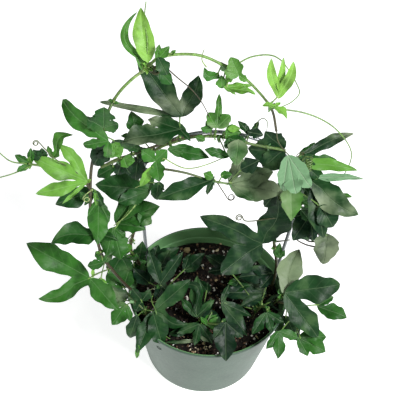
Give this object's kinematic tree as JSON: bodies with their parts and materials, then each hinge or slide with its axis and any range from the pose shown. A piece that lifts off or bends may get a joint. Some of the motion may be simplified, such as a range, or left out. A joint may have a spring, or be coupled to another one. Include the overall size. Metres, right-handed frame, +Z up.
{
  "type": "potted passion flower vine on a wire hoop",
  "caption": "Young passion flower vine with lobed leaves and tendrils, rooted in a round nursery pot and trained over a wire hoop.",
  "frame": {"origin": "centre of the pot's foot, on the surface that it stands on", "axes": "+Z up along the pot's axis; the hoop stands in a plane across Y, and -Y is the front"},
  "size_m": [0.3421, 0.165, 0.4153],
  "materials": {
    "pot_plastic": "smooth moulded, slightly translucent grey-green",
    "potting_mix": "crumbly dark peat mix with perlite and bark",
    "coated_wire": "dull grey coating",
    "leaf_dark": "waxy dark green",
    "leaf_green": "waxy fresh green"
  },
  "bodies": {
    "root": {"pot": "pot_plastic", "soil": "potting_mix", "hoop": "coated_wire", "vine_arch": "leaf_green", "vine_hoop_left": "leaf_dark", "vine_hoop_right": "leaf_dark", "shoot_rim_left": "leaf_green", "shoot_back_left": "leaf_dark", "shoot_front": "leaf_dark", "shoot_middle": "leaf_dark", "shoot_rim_right": "leaf_dark"}
  },
  "joints": []
}
